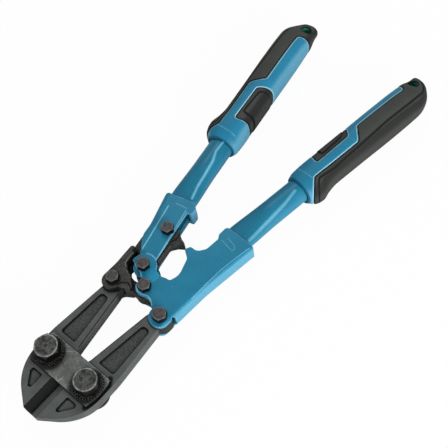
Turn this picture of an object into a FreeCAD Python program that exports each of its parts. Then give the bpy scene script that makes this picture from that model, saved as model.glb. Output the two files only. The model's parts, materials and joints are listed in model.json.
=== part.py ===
import FreeCAD, Part
import math
import os
from FreeCAD import Vector

# Compact bolt cutters, shown closed, lying flat.
# Tool frame used while modelling: the line through the two jaw bolts is y = 0, the jaws point to -Y,
# the handles to +Y, the tool's mid plane is z = 0 and the left handle is on -X.
# The finished pieces are moved so that the whole tool stands on z = 0, centred over the origin.

# ---- Driving dimensions, in millimetres ----

# Blades
blade_thickness = 8.0
jaw_bolt_spacing = 30.0
jaw_length = 30.1
nose_width = 4.5
nose_slope = 36.0
jaw_outer_radius = 28.0
jaw_half_width = 24.3
blade_waist_y = 11.0
blade_tail_reach = 52.4
tail_bolt_spacing = 35.6
tail_boss_radius = 6.3
arm_outer_offset = 3.4
throat_y = 3.0
throat_half_width = 5.0
bevel_width = 5.0
cutting_land = 0.8
cutting_gap = 0.2
pocket_depth = 1.2
nose_back_taper = 2.8

# Jaw plates and their bolts
jaw_plate_thickness = 2.4
jaw_plate_depth = 18.2
jaw_plate_corner = 21.4
jaw_plate_bulge = 1.6
jaw_shank_radius = 4.5
jaw_head_flats = 13.2
jaw_head_height = 6.2
toothed_washer_radius = 8.7
toothed_washer_teeth = 32
toothed_washer_tooth = 0.6
jaw_washer_thickness = 2.0

# Pivots of the lever mechanism
pivot_shank_radius = 2.5
lever_pivot_x = -0.9
lever_pivot_above_tails = 7.7
handle_pivot_from_lever = (-8.7, 8.7)
link_pin_from_handle_pivot = (-5.8, 26.1)
pivot_head_flats = 7.0
tail_head_flats = 7.8
pivot_head_height = 4.0
pivot_nut_height = 3.2
bush_wall = 1.5
pivot_spacer_radius = 4.5

# Sheet-metal handle heads
sheet = 2.0
right_flange_radius = 2.4
tail_ear_radius = 6.4
ear_step = 1.4
ear_ramp = 3.4
left_fold_radius = 3.4
lever_ear_radius = 5.3
handle_ear_radius = 7.4
left_ear_radius = 6.2
tab_start = (19.9, -3.2)
tab_reach = 23.0
right_channel_reach = 64.2
left_channel_reach = 64.0

# Lever
cheek_thickness = 3.5
lever_eye_radius = 6.3
lever_recess_radius = 8.6
lever_neck_arc = 15.0
link_slot_inward = 1.1
link_slot_outward = 1.5
closing_stop_gap = 2.9
lever_arm_half = 2.8
link_boss_radius = 6.0

# Tubes and grips
tube_diameter = 15.0
tube_wall = 1.5
tube_flat_width = 18.4
tube_flat_power = 2.8
tube_end_narrowing = 3.2
tube_mouth_narrowing = 0.9
tube_neck_length = 26.0
tube_neck_steps = 12
tube_in_channel = 11.0
tube_in_grip = 86.0
left_lean = 9.6
right_lean = 8.25
left_grip_from_link_pin = -16.3
right_grip_from_tail = 6.9
left_tube_showing = 43.0
right_tube_showing = 46.9
grip_length = 108.1
grip_half_depth = 12.5
grip_skin = 1.5
hang_hole_radius = 3.0
hang_hole_from_end = 6.9
hang_hole_w = -4.2
hang_hole_wall = 2.2
sleeve_wrap_from_end = 16.1
sleeve_wrap_slant = 5.0

# Clearances
side_gap = 0.2
pin_clearance = 0.05
swing_gap = 0.4
open_pivot_clearance = 0.75
slot_clearance = 0.25
fixed_gap = 0.02

# ---- Places that follow from them ----

blade_half = blade_thickness / 2
inner_half = blade_half + side_gap            # inside faces of whatever straddles a blade
right_half = inner_half + sheet               # outside of the right channel
left_half = inner_half - side_gap + sheet     # outside of the left channel, under the raised ears
left_inner_half = left_half - sheet
web_half = left_inner_half - side_gap
ear_inner_half = left_half + side_gap         # raised ears that straddle the left channel
ear_half = ear_inner_half + sheet
cheek_half = inner_half + cheek_thickness
jaw_plate_half = inner_half + jaw_plate_thickness
jaw_seat = jaw_plate_half + jaw_washer_thickness
jaw_nut_end = -grip_half_depth                # the nuts and the grips lie in one rest plane
jaw_x = jaw_bolt_spacing / 2
tail_x = tail_bolt_spacing / 2
tail_y = blade_tail_reach
tail_right = (tail_x, tail_y)
tail_left = (-tail_x, tail_y)
lever_pivot = (lever_pivot_x, tail_y + lever_pivot_above_tails)
handle_pivot = (lever_pivot[0] + handle_pivot_from_lever[0], lever_pivot[1] + handle_pivot_from_lever[1])
link_pin = (handle_pivot[0] + link_pin_from_handle_pivot[0], handle_pivot[1] + link_pin_from_handle_pivot[1])
right_channel_end = tail_y + right_channel_reach
left_channel_end = tail_y + left_channel_reach
right_grip_start = (tail_x + right_grip_from_tail, right_channel_end + right_tube_showing)
left_grip_start = (link_pin[0] + left_grip_from_link_pin, left_channel_end + left_tube_showing)
hang_hole_s = grip_length - hang_hole_from_end
tube_radius = tube_diameter / 2
tube_flat_half = left_inner_half - side_gap / 2


# ---- Small helpers ----

def shifted(base, dx, dy, radius=0.0):
    """A corner given from a named point, with the radius that rounds it."""
    return (base[0] + dx, base[1] + dy, radius)


def outline(corners):
    """Closed wire through (x, y, radius) corners; each corner with a radius becomes an arc."""
    edges = []
    starts = []
    ends = []
    count = len(corners)
    for i in range(count):
        before = Vector(corners[i - 1][0], corners[i - 1][1], 0)
        here = Vector(corners[i][0], corners[i][1], 0)
        after = Vector(corners[(i + 1) % count][0], corners[(i + 1) % count][1], 0)
        radius = corners[i][2] if len(corners[i]) > 2 else 0.0
        if radius <= 0:
            starts.append(here)
            ends.append(here)
            continue
        to_before = (before - here).normalize()
        to_after = (after - here).normalize()
        half_angle = to_before.getAngle(to_after) / 2
        reach = radius / math.tan(half_angle)
        middle_way = (to_before + to_after).normalize()
        middle = here + middle_way * (radius / math.sin(half_angle) - radius)
        start = here + to_before * reach
        end = here + to_after * reach
        edges.append(Part.Arc(start, middle, end).toShape())
        starts.append(start)
        ends.append(end)
    for i in range(count):
        a = ends[i]
        b = starts[(i + 1) % count]
        if (b - a).Length > 1e-6:
            edges.append(Part.makeLine(a, b))
    return Part.Wire(Part.__sortEdges__(edges))


def prism(corners, z_low, z_high):
    """Solid between two heights over a rounded outline."""
    face = Part.Face(outline(corners))
    face.translate(Vector(0, 0, z_low))
    return face.extrude(Vector(0, 0, z_high - z_low))


def disc(centre, radius, z_low, z_high):
    """Upright cylinder."""
    return Part.makeCylinder(radius, z_high - z_low, Vector(centre[0], centre[1], z_low))


def ring(centre, bore, radius, z_low, z_high):
    """Upright ring."""
    return disc(centre, radius, z_low, z_high).cut(disc(centre, bore, z_low, z_high))


def other_side(shape):
    """Mirror image across the tool's centre line."""
    return shape.mirror(Vector(0, 0, 0), Vector(1, 0, 0))


def hexagon(centre, flats, z_low, z_high, turn=0.0):
    """Upright hexagonal prism."""
    corner = flats / math.sqrt(3)
    points = []
    for i in range(6):
        angle = math.radians(60 * i + turn)
        points.append((centre[0] + corner * math.cos(angle), centre[1] + corner * math.sin(angle)))
    return prism(points, z_low, z_high)


def hex_bolt(centre, shank, flats, z_seat, z_top, z_end, turn=0.0):
    """Bolt with a hexagonal head on z_seat..z_top and a shank down to z_end."""
    head = hexagon(centre, flats, z_seat, z_top, turn)
    crown = disc(centre, flats / 2 * 1.12, z_seat, z_top)
    top_edges = [e for e in crown.Edges if abs(e.CenterOfMass.z - z_top) < 1e-6 and e.isClosed()]
    crown = crown.makeChamfer(flats * 0.07, flats * 0.12, top_edges)
    return head.common(crown).fuse(disc(centre, shank, z_end, z_seat + fixed_gap)).removeSplitter()


def hex_nut(centre, shank, flats, z_seat, z_end, turn=0.0):
    """Nut under a seat at z_seat, reaching down to z_end."""
    body = hexagon(centre, flats, z_end, z_seat, turn)
    return body.cut(disc(centre, shank + fixed_gap, z_end, z_seat))


def washer(centre, shank, radius, z_low, z_high):
    """Plain washer round a shank."""
    return ring(centre, shank + fixed_gap, radius, z_low, z_high)


def polar(centre, radius, degrees):
    """Point at a distance and a direction from a centre."""
    angle = math.radians(degrees)
    return (centre[0] + radius * math.cos(angle), centre[1] + radius * math.sin(angle))


def direction(a, b):
    """Direction from a to b in degrees."""
    return math.degrees(math.atan2(b[1] - a[1], b[0] - a[0]))


# ---- Blades ----

def right_blade_solid(tail_hole):
    """Forged blade: wide jaw, tapering arm, round tail, with bevels and pockets on both faces."""
    slope = math.tan(math.radians(nose_slope))
    edge = cutting_gap / 2
    corner_y = -jaw_length + (jaw_half_width - nose_width) * slope
    arm = prism([
        (edge, -jaw_length),
        (nose_width, -jaw_length, 0.6),
        (jaw_half_width, corner_y, jaw_outer_radius),
        (jaw_half_width, blade_waist_y, 30.0),
        (tail_x + arm_outer_offset, tail_y - tail_boss_radius),
        (tail_x + arm_outer_offset, tail_y),
        (tail_x - tail_boss_radius, tail_y),
        shifted((tail_x - tail_boss_radius, tail_y), -1.1, -5.0, 3.0),
        (throat_half_width, blade_waist_y, 12.0),
        (edge, -throat_y, 3.0),
    ], -blade_half, blade_half)
    blade = arm.fuse(disc(tail_right, tail_boss_radius, -blade_half, blade_half)).removeSplitter()
    bevel = cutting_bevel(edge)
    tools = [bevel, bevel.mirror(Vector(0, 0, 0), Vector(0, 0, 1)), nose_back_relief()]
    for pocket in (nose_pocket(), arm_pocket()):
        tools.append(pocket)
        tools.append(pocket.mirror(Vector(0, 0, 0), Vector(0, 0, 1)))
    tools.append(disc((jaw_x, 0), jaw_shank_radius + pin_clearance, -blade_half, blade_half))
    tools.append(disc(tail_right, tail_hole, -blade_half, blade_half))
    return blade.cut(tools)


def cutting_bevel(edge):
    """Wedge removed from the front face, leaving a narrow land at the mid plane."""
    rise = (blade_half - cutting_land / 2) / (bevel_width - edge)
    low_x = edge - 1.0
    low_z = cutting_land / 2 - rise
    top_z = blade_half + 1.0
    top_x = bevel_width + 1.0 / rise
    low = Vector(low_x, 0, low_z)
    top = Vector(top_x, 0, top_z)
    corner = Vector(low_x, 0, top_z)
    face = Part.Face(Part.makePolygon([low, top, corner, low]))
    face.translate(Vector(0, -jaw_length - 1.0, 0))
    return face.extrude(Vector(0, jaw_length + 1.0 - throat_y, 0))


def nose_back_relief():
    """Wedge removed behind the nose, which thins the jaw towards its tip."""
    start = -jaw_plate_depth / 2 - side_gap
    points = [
        Vector(-1.0, start, -blade_half),
        Vector(-1.0, -jaw_length, -blade_half + nose_back_taper),
        Vector(-1.0, -jaw_length - 1.0, -blade_half + nose_back_taper),
        Vector(-1.0, -jaw_length - 1.0, -blade_half - 1.0),
        Vector(-1.0, start, -blade_half - 1.0),
        Vector(-1.0, start, -blade_half),
    ]
    return Part.Face(Part.makePolygon(points)).extrude(Vector(2 * jaw_half_width, 0, 0))


def nose_pocket():
    """Shallow three-cornered recess on the jaw's face."""
    inner = bevel_width + 4.6
    back = -jaw_plate_depth / 2 - 2.3
    return prism([
        (inner, back, 1.2),
        (jaw_half_width - 5.6, back, 1.6),
        (inner, back - 12.0, 1.4),
    ], blade_half - pocket_depth, blade_half + 1.0)


def arm_pocket():
    """Long tapering recess along the arm's face."""
    front = jaw_plate_depth / 2 + 3.4
    back = tail_y - tail_boss_radius - 3.0
    inner = throat_half_width + 4.2
    outer = jaw_half_width - 3.9
    return prism([
        (inner, front, 1.0),
        (outer, front, 1.6),
        (outer - 1.7, back, 2.2),
        (inner + 4.0, back, 2.2),
    ], blade_half - pocket_depth, blade_half + 1.0)


# ---- Jaw plates ----

def jaw_plate_solid(z_low, z_high):
    """Plate that carries both jaw bolts, with gently bulging ends."""
    half = jaw_plate_depth / 2
    sagitta = jaw_plate_bulge
    arc_radius = (half * half + sagitta * sagitta) / (2 * sagitta)
    left = disc((-(jaw_plate_corner + sagitta) + arc_radius, 0), arc_radius, z_low, z_high)
    right = disc((jaw_plate_corner + sagitta - arc_radius, 0), arc_radius, z_low, z_high)
    reach = jaw_plate_corner + sagitta
    slab = prism([(-reach, -half), (reach, -half), (reach, half), (-reach, half)], z_low, z_high)
    plate = slab.common(left).common(right)
    for x in (-jaw_x, jaw_x):
        plate = plate.cut(disc((x, 0), jaw_shank_radius + fixed_gap, z_low, z_high))
    return plate


def jaw_bolt_solid(x):
    """Large hexagonal jaw bolt, its shank ending flush with the nut."""
    head_top = jaw_seat + jaw_head_height
    return hex_bolt((x, 0), jaw_shank_radius, jaw_head_flats, jaw_seat, head_top, jaw_nut_end)


def toothed_washer_solid(x):
    """Locking washer with teeth all round its rim."""
    count = toothed_washer_teeth
    step = 360.0 / count
    root = toothed_washer_radius - toothed_washer_tooth
    points = []
    for i in range(count):
        for share, radius in ((0.0, root), (0.35, toothed_washer_radius), (0.65, toothed_washer_radius)):
            points.append(polar((x, 0), radius, (i + share) * step))
    body = prism(points, jaw_plate_half, jaw_seat)
    return body.cut(disc((x, 0), jaw_shank_radius + fixed_gap, jaw_plate_half, jaw_seat))


# ---- Right handle head ----

def flange_line(inset):
    """Outer edge of the right channel, from the tail ear to the tube, moved inwards by inset."""
    bottom = (tail_x + tail_ear_radius - inset, tail_y + 5.2)
    middle = (bottom[0] + 1.3, bottom[1] + 22.0)
    run = right_channel_end - middle[1]
    top = (middle[0] + run * math.tan(math.radians(right_lean)), right_channel_end)
    return [bottom, (middle[0], middle[1], 40.0), top]


def right_head_outline():
    """Outline of the right head between the tail ear, the window and the tube, without its ears."""
    bottom, middle, top = flange_line(0.0)
    return [
        bottom,
        middle,
        (top[0], top[1], 1.0),
        shifted(top, -20.6, 0.6, 2.0),
        shifted(top, -21.0, -6.0, 2.0),
        shifted(top, -19.4, -8.6, 2.0),
        shifted(top, -20.4, -17.6, 5.0),
        shifted(top, -23.8, -21.8, 4.0),
        shifted(top, -28.4, -21.9, 1.2),
        shifted(top, -30.2, -25.2, 1.3),
        shifted(top, -25.0, -28.8, 3.5),
        shifted(top, -21.5, -39.5, 9.0),
        shifted(lever_pivot, 8.2, 11.5, 1.8),
        shifted(lever_pivot, 5.6, 11.3, 2.0),
        shifted(lever_pivot, 2.6, 10.3, 2.5),
        shifted(lever_pivot, -0.3, 10.8, 2.5),
        shifted(handle_pivot, 5.9, 3.3, 1.5),
        handle_pivot,
        shifted(lever_pivot, -5.2, 2.9),
        lever_pivot,
        shifted(lever_pivot, 1.5, -5.0),
        shifted(lever_pivot, 5.4, -4.2, 3.0),
        shifted(lever_pivot, 8.6, -4.6, 2.0),
        shifted(tail_right, -6.2, 0.2),
        tail_right,
    ]


def folded_slab(line, side, half, bend):
    """Wide slab that ends at a folded edge line, with both of the fold's corners bent round."""
    bottom, middle, top = [Vector(p[0], p[1], 0) for p in line]
    low = bottom + (bottom - middle).normalize() * 80
    high = top + (top - middle).normalize() * 80
    far = 200 * side
    slab = prism([
        (low.x, low.y),
        line[1],
        (high.x, high.y),
        (high.x - far, high.y),
        (low.x - far, low.y),
    ], -half, half)
    near = side * bottom.x - 60
    bends = [e for e in slab.Edges if e.BoundBox.ZLength < 1e-6 and side * e.CenterOfMass.x > near]
    return slab.makeFillet(bend, bends)


def right_channel_solid():
    """Folded sheet: front and back plates, outer flange, tail, lever and handle ears, stop horn."""
    plate = prism(right_head_outline(), -right_half, right_half)
    plate = plate.fuse([
        disc(tail_right, tail_ear_radius, -right_half, right_half),
        disc(lever_pivot, lever_ear_radius, -right_half, right_half),
    ]).removeSplitter()
    plate = plate.common(folded_slab(flange_line(0.0), 1, right_half, right_flange_radius))
    inner = flange_line(sheet)
    cavity = prism([
        (inner[0][0] - 80, inner[0][1] - 30),
        (inner[0][0] + 30, inner[0][1] - 30),
        (inner[0][0] + 30, inner[0][1]),
        inner[0],
        inner[1],
        inner[2],
        shifted(inner[2], 1.0, 10.0),
        (inner[0][0] - 80, inner[2][1] + 10.0),
    ], -inner_half, inner_half)
    channel = plate.cut(cavity).fuse(stop_fold())
    channel = channel.cut(disc(handle_pivot, left_ear_radius + swing_gap, -ear_inner_half, ear_inner_half))
    channel = channel.fuse([raised_ear(1), raised_ear(-1)]).removeSplitter()
    return channel.cut([
        disc(tail_right, pivot_shank_radius + fixed_gap, -right_half, right_half),
        disc(lever_pivot, pivot_shank_radius + fixed_gap, -right_half, right_half),
        disc(handle_pivot, pivot_shank_radius + fixed_gap, -ear_half, ear_half),
    ])


def stop_fold():
    """Strip folded down from the horn to the other plate, which the lever's horn meets."""
    tip = shifted(flange_line(0.0)[2], -28.6, -25.0)
    return prism([
        shifted(tip, -0.6, 0.4),
        shifted(tip, -0.6, 2.4),
        shifted(tip, 1.4, 2.4),
        shifted(tip, 1.4, 0.4),
    ], -inner_half, inner_half)


def raised_ear(side):
    """Handle ear, set out by one sheet so that the left channel turns under it, with its step."""
    relief = prism([
        shifted(handle_pivot, -12.0, 0.5),
        shifted(handle_pivot, -5.6, -1.9, 1.0),
        shifted(handle_pivot, -2.6, -3.6, 1.0),
        shifted(handle_pivot, 0.6, -3.8, 1.0),
        shifted(handle_pivot, 6.0, -8.4),
        shifted(handle_pivot, -12.0, -12.0),
    ], inner_half, ear_half)
    head_room = disc(lever_pivot, pivot_head_flats / math.sqrt(3) + swing_gap, right_half, ear_half)
    ear = disc(handle_pivot, handle_ear_radius, ear_inner_half, ear_half).cut([relief, head_room])
    step = disc(handle_pivot, handle_ear_radius + ear_step, inner_half, right_half)
    ramp = Part.makeCone(handle_ear_radius + ear_ramp, handle_ear_radius, ear_half - right_half,
                         Vector(handle_pivot[0], handle_pivot[1], right_half))
    step = step.fuse(ramp).common(prism(right_head_outline(), inner_half, ear_half))
    step = step.cut([disc(handle_pivot, left_ear_radius + swing_gap, inner_half, ear_inner_half), head_room])
    solid = ear.fuse(step)
    if side < 0:
        solid = solid.mirror(Vector(0, 0, 0), Vector(0, 0, 1))
    return solid


# ---- Left handle head ----

def left_edge_line(inset):
    """Folded outer edge of the left channel from its open end to the tube, moved inwards by inset."""
    bottom = shifted(link_pin, -11.0 + inset, -8.6)
    middle = shifted(bottom, -0.9, 5.6, 12.0)
    top = (link_pin[0] - 19.0 + inset, left_channel_end - 3.0)
    return [bottom, middle, top]


def left_head_outline():
    """Outline of the left head between the handle ear, the fold and the tube, without its ear."""
    bottom, middle, top = left_edge_line(0.0)
    return [
        bottom,
        shifted(bottom, 2.8, -4.4, 5.0),
        shifted(handle_pivot, -5.9, 2.4),
        handle_pivot,
        shifted(handle_pivot, 6.3, 0.6),
        shifted(handle_pivot, 1.6, 8.0, 4.0),
        shifted(top, tab_start[0], tab_start[1], 0.8),
        shifted(top, tab_reach, -2.6, 1.2),
        shifted(top, tab_reach - 0.6, 1.8, 2.0),
        shifted(top, 19.3, 4.6, 2.0),
        shifted(top, 6.4, 1.2, 6.0),
        (top[0], top[1], 2.5),
        middle,
    ]


def left_channel_solid():
    """Folded sheet: front and back plates, round outer fold, handle ear and the tab round the tube."""
    plate = prism(left_head_outline(), -left_half, left_half)
    plate = plate.fuse(disc(handle_pivot, left_ear_radius, -left_half, left_half)).removeSplitter()
    plate = plate.common(folded_slab(left_edge_line(0.0), -1, left_half, left_fold_radius))
    bottom, middle, top = left_edge_line(sheet)
    cavity = prism([
        shifted(bottom, -sheet - 1.0, -40.0),
        shifted(bottom, 60.0, -40.0),
        (bottom[0] + 60.0, top[1] + tab_start[1]),
        shifted(top, tab_reach - 2 * sheet, tab_start[1]),
        shifted(top, tab_reach - 2 * sheet, 20.0),
        shifted(top, -4.0, 20.0),
        top,
        middle,
        bottom,
        shifted(bottom, -sheet - 1.0, 0.0),
    ], -left_inner_half, left_inner_half)
    return plate.cut([
        cavity,
        disc(handle_pivot, pivot_shank_radius + pin_clearance, -left_half, left_half),
        disc(link_pin, pivot_shank_radius + fixed_gap, -left_half, left_half),
    ])


# ---- Lever ----

def lever_cheek_outline():
    """Outline of the fork's cheeks, which straddle the left blade's tail."""
    return [
        shifted(tail_left, 2.6, -6.8, 3.0),
        shifted(tail_left, -6.0, -6.6, 5.6),
        shifted(tail_left, -5.5, 8.0, 12.0),
        shifted(tail_left, -6.5, 22.2, 1.6),
        shifted(tail_left, -2.5, 22.2, 1.6),
        shifted(handle_pivot, -9.0, -0.8, 6.0),
        shifted(handle_pivot, -9.4, -6.4, 2.5),
        shifted(handle_pivot, -1.8, -9.0, 1.2),
        shifted(lever_pivot, -5.6, -5.0, 1.0),
        shifted(tail_left, 6.2, -0.4, 4.0),
    ]


def lever_web_outline():
    """Outline of the lever's web: eye, neck round the handle pivot, link arm and stop horn."""
    neck_low = polar(link_pin, lever_neck_arc, 226.0)
    neck_in = polar(link_pin, lever_neck_arc, 256.0)
    tip = shifted(flange_line(0.0)[2], -30.2 - closing_stop_gap, -22.2)
    return [
        shifted(lever_pivot, -2.0, -5.9),
        shifted(tail_left, 7.6, 1.8),
        shifted(tail_left, -5.5, 8.0, 4.0),
        shifted(tail_left, -6.3, 21.0, 6.0),
        (neck_low[0], neck_low[1]),
        shifted(neck_low, 4.4, -2.6, 5.0),
        (neck_in[0], neck_in[1], 0.8),
        shifted(link_pin, -4.6, -1.0, 4.0),
        shifted(link_pin, -1.2, 7.0, 4.0),
        shifted(link_pin, 5.6, 3.4, 3.0),
        shifted(tip, -3.9, 1.7),
        shifted(tip, -1.7, 1.1),
        shifted(tip, 0.0, 0.0, 0.8),
        shifted(tip, -3.7, -2.4, 2.0),
        shifted(tip, -6.6, -6.2, 3.0),
        shifted(tip, -5.8, -13.3, 2.0),
        shifted(handle_pivot, 1.8, 2.0),
        shifted(lever_pivot, -0.5, 5.8),
        lever_pivot,
    ]


def lever_solid():
    """Forged lever: fork at the blade tail, eye on its pivot, arm with the link slot, stop horn."""
    eye = disc(lever_pivot, lever_eye_radius, -web_half, web_half)
    boss = disc(link_pin, link_boss_radius, -web_half, web_half)
    web = prism(lever_web_outline(), -lever_arm_half, lever_arm_half)
    cheeks = prism(lever_cheek_outline(), -cheek_half, cheek_half)
    lever = web.fuse([eye, boss, cheeks]).removeSplitter()
    boss_room = tail_boss_radius + open_pivot_clearance + swing_gap / 2
    low_right = shifted(tail_left, boss_room, 0.8)
    swing = prism([
        low_right,
        shifted(low_right, 0.0, -40.0),
        shifted(tail_left, -40.0, -40.0),
        shifted(tail_left, -28.0, -40.0),
        shifted(tail_left, -arm_outer_offset - 1.2, 3.0),
    ], -inner_half, inner_half)
    recess = lever_recess()
    slot_half = pivot_shank_radius + slot_clearance
    reach = math.dist(lever_pivot, link_pin)
    heading = direction(lever_pivot, link_pin)
    near = polar(lever_pivot, reach - link_slot_inward, heading)
    far = polar(lever_pivot, reach + link_slot_outward, heading)
    side = polar((0, 0), slot_half, heading + 90)
    slot = prism([
        shifted(near, side[0], side[1]),
        shifted(far, side[0], side[1]),
        shifted(far, -side[0], -side[1]),
        shifted(near, -side[0], -side[1]),
    ], -web_half, web_half)
    return lever.cut([
        disc(tail_left, boss_room, -inner_half, inner_half),
        swing,
        recess,
        slot,
        disc(near, slot_half, -web_half, web_half),
        disc(far, slot_half, -web_half, web_half),
        disc(tail_left, pivot_shank_radius + fixed_gap, -cheek_half, cheek_half),
        disc(lever_pivot, pivot_shank_radius + bush_wall + fixed_gap, -web_half, web_half),
    ])


def lever_recess():
    """Room for the handle pivot, which travels along an arc round the lever's own pivot."""
    reach = math.dist(lever_pivot, handle_pivot)
    heading = direction(lever_pivot, handle_pivot)
    low = reach - pivot_spacer_radius - 2 * swing_gap
    high = reach + pivot_spacer_radius + 2 * swing_gap
    sector = ring(lever_pivot, low, high, -web_half, web_half)
    wedge = prism([
        lever_pivot,
        polar(lever_pivot, 3 * high, heading),
        polar(lever_pivot, 3 * high, heading - 50),
        polar(lever_pivot, 3 * high, heading - 100),
    ], -web_half, web_half)
    path = sector.common(wedge)
    return path.fuse(disc(handle_pivot, lever_recess_radius, -cheek_half, cheek_half)).cut(
        disc(lever_pivot, lever_eye_radius, -cheek_half, cheek_half))


# ---- Tubes and grips, built along +Y from the grip's front and then turned to their handle ----

def oval(y, half_in, half_out, half_depth, power):
    """Closed squarish oval across the handle at y, its seam underneath; the handle's outer side is +X."""
    middle = (half_out - half_in) / 2
    half_width = (half_out + half_in) / 2
    points = []
    count = 24
    for i in range(count):
        angle = 2 * math.pi * i / count - math.pi / 2
        c = math.cos(angle)
        s = math.sin(angle)
        x = middle + half_width * math.copysign(abs(c) ** (2 / power), c)
        z = half_depth * math.copysign(abs(s) ** (2 / power), s)
        points.append(Vector(x, y, z))
    curve = Part.BSplineCurve()
    curve.interpolate(points, PeriodicFlag=True)
    return Part.Wire(curve.toShape())


def loft(sections, ruled=False):
    """Solid through (y, half_in, half_out, half_depth, power) sections, straight between them if ruled."""
    return Part.makeLoft([oval(*s) for s in sections], True, ruled)


def tube_sections(channel_end, wall):
    """Sections of the tube: pressed flat in the channel, swelling to round, straight into the grip."""
    radius = tube_radius - wall
    flat_width = tube_flat_width / 2 - wall
    flat_half = tube_flat_half - wall
    sections = []
    for share in (0.0, 0.5, 1.0):
        y = channel_end - tube_in_channel * (1 - share)
        width = flat_width - tube_end_narrowing + share * (tube_end_narrowing - tube_mouth_narrowing)
        sections.append((y, width, width, flat_half, tube_flat_power))
    for i in range(1, tube_neck_steps + 1):
        share = i / tube_neck_steps
        blend = share * share * (3 - 2 * share)
        width = flat_width + (radius - flat_width) * blend
        depth = flat_half + (radius - flat_half) * blend
        power = tube_flat_power + (2.0 - tube_flat_power) * share
        sections.append((channel_end + share * tube_neck_length, width, width, depth, power))
    sections.append((tube_in_grip, radius, radius, radius, 2.0))
    return sections


def tube_solid(channel_end):
    """Steel tube with its flattened end, hollow right through."""
    outer = loft(tube_sections(channel_end, 0.0), ruled=True)
    inner = loft(tube_sections(channel_end, tube_wall), ruled=True)
    return outer.cut(inner)


def grip_sections(skin):
    """Sections of the grip: slim front, flared collar with a thumb guard, belly, rounded end."""
    shape = [
        (0.0, 8.9, 9.4, 9.2, 2.0),
        (4.0, 10.0, 12.6, 11.3, 2.2),
        (9.0, 10.0, 13.6, 12.3, 2.4),
        (15.0, 9.9, 11.6, 12.4, 2.5),
        (24.0, 9.9, 10.2, 12.3, 2.5),
        (45.0, 10.0, 10.3, 12.4, 2.5),
        (70.0, 10.3, 10.7, 12.3, 2.5),
        (88.0, 10.4, 11.0, 11.2, 2.5),
        (97.0, 10.3, 9.8, 9.2, 2.5),
        (102.5, 9.6, 7.0, 6.4, 2.4),
        (108.1, 9.5, 1.2, 4.9, 2.3),
    ]
    stretch = grip_length / shape[-1][0]
    depth = grip_half_depth / 12.5
    return [(y * stretch, a - skin, b - skin, d * depth - skin, p) for y, a, b, d, p in shape]


def grip_body():
    """The whole grip as one closed shape."""
    return loft(grip_sections(0.0))


def grip_core_body():
    """The hard core under the soft skin; it stops short of the hanging hole."""
    core_end = hang_hole_s - hang_hole_radius - hang_hole_wall
    under = loft(grip_sections(grip_skin))
    beyond = Part.makeBox(80, 80, 80, Vector(-40, core_end, -40))
    return under.cut(beyond)


def sleeve_region():
    """Plan area of the soft outer side and end of the grip."""
    far = grip_length + 10.0
    wrap = grip_length - sleeve_wrap_from_end
    return prism([
        (5.1, 8.6, 1.5),
        (5.1, 44.5, 3.0),
        (-3.5, 51.5, 3.0),
        (-3.5, wrap, 3.0),
        (-20.0, wrap + sleeve_wrap_slant),
        (-20.0, far),
        (30.0, far),
        (30.0, -17.5),
    ], -2 * grip_half_depth, 2 * grip_half_depth)


def insert_region():
    """Plan area of the soft finger pad on the inner side of the grip."""
    return prism([
        (-20.0, 22.5),
        (-1.0, 16.0, 1.5),
        (-1.6, 42.6, 3.0),
        (-20.0, 54.5),
    ], -2 * grip_half_depth, 2 * grip_half_depth)


def grip_solids():
    """Hard core, soft sleeve and soft finger pad of one grip."""
    body = grip_body()
    under = grip_core_body()
    hole = Part.makeCylinder(hang_hole_radius, 4 * grip_half_depth,
                             Vector(hang_hole_w, hang_hole_s, -2 * grip_half_depth))
    mouth = Vector(0, -10.0, 0)
    bore = Part.makeCylinder(tube_radius + fixed_gap, tube_in_grip + 10.0, mouth, Vector(0, 1, 0))
    skin = body.cut(under)
    sleeve = skin.common(sleeve_region()).cut(hole)
    pad = skin.common(insert_region())
    core = under.fuse(skin.cut([sleeve_region(), insert_region()])).cut(bore).removeSplitter()
    return core, sleeve, pad


def to_right_handle(shape):
    """Place a piece built along +Y on the right handle's line."""
    placed = shape.copy()
    placed.rotate(Vector(0, 0, 0), Vector(0, 0, 1), -right_lean)
    placed.translate(Vector(right_grip_start[0], right_grip_start[1], 0))
    return placed


def to_left_handle(shape):
    """Mirror a piece built along +Y and place it on the left handle's line."""
    placed = other_side(shape)
    placed.rotate(Vector(0, 0, 0), Vector(0, 0, 1), left_lean)
    placed.translate(Vector(left_grip_start[0], left_grip_start[1], 0))
    return placed


# ---- The whole tool ----

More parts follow.
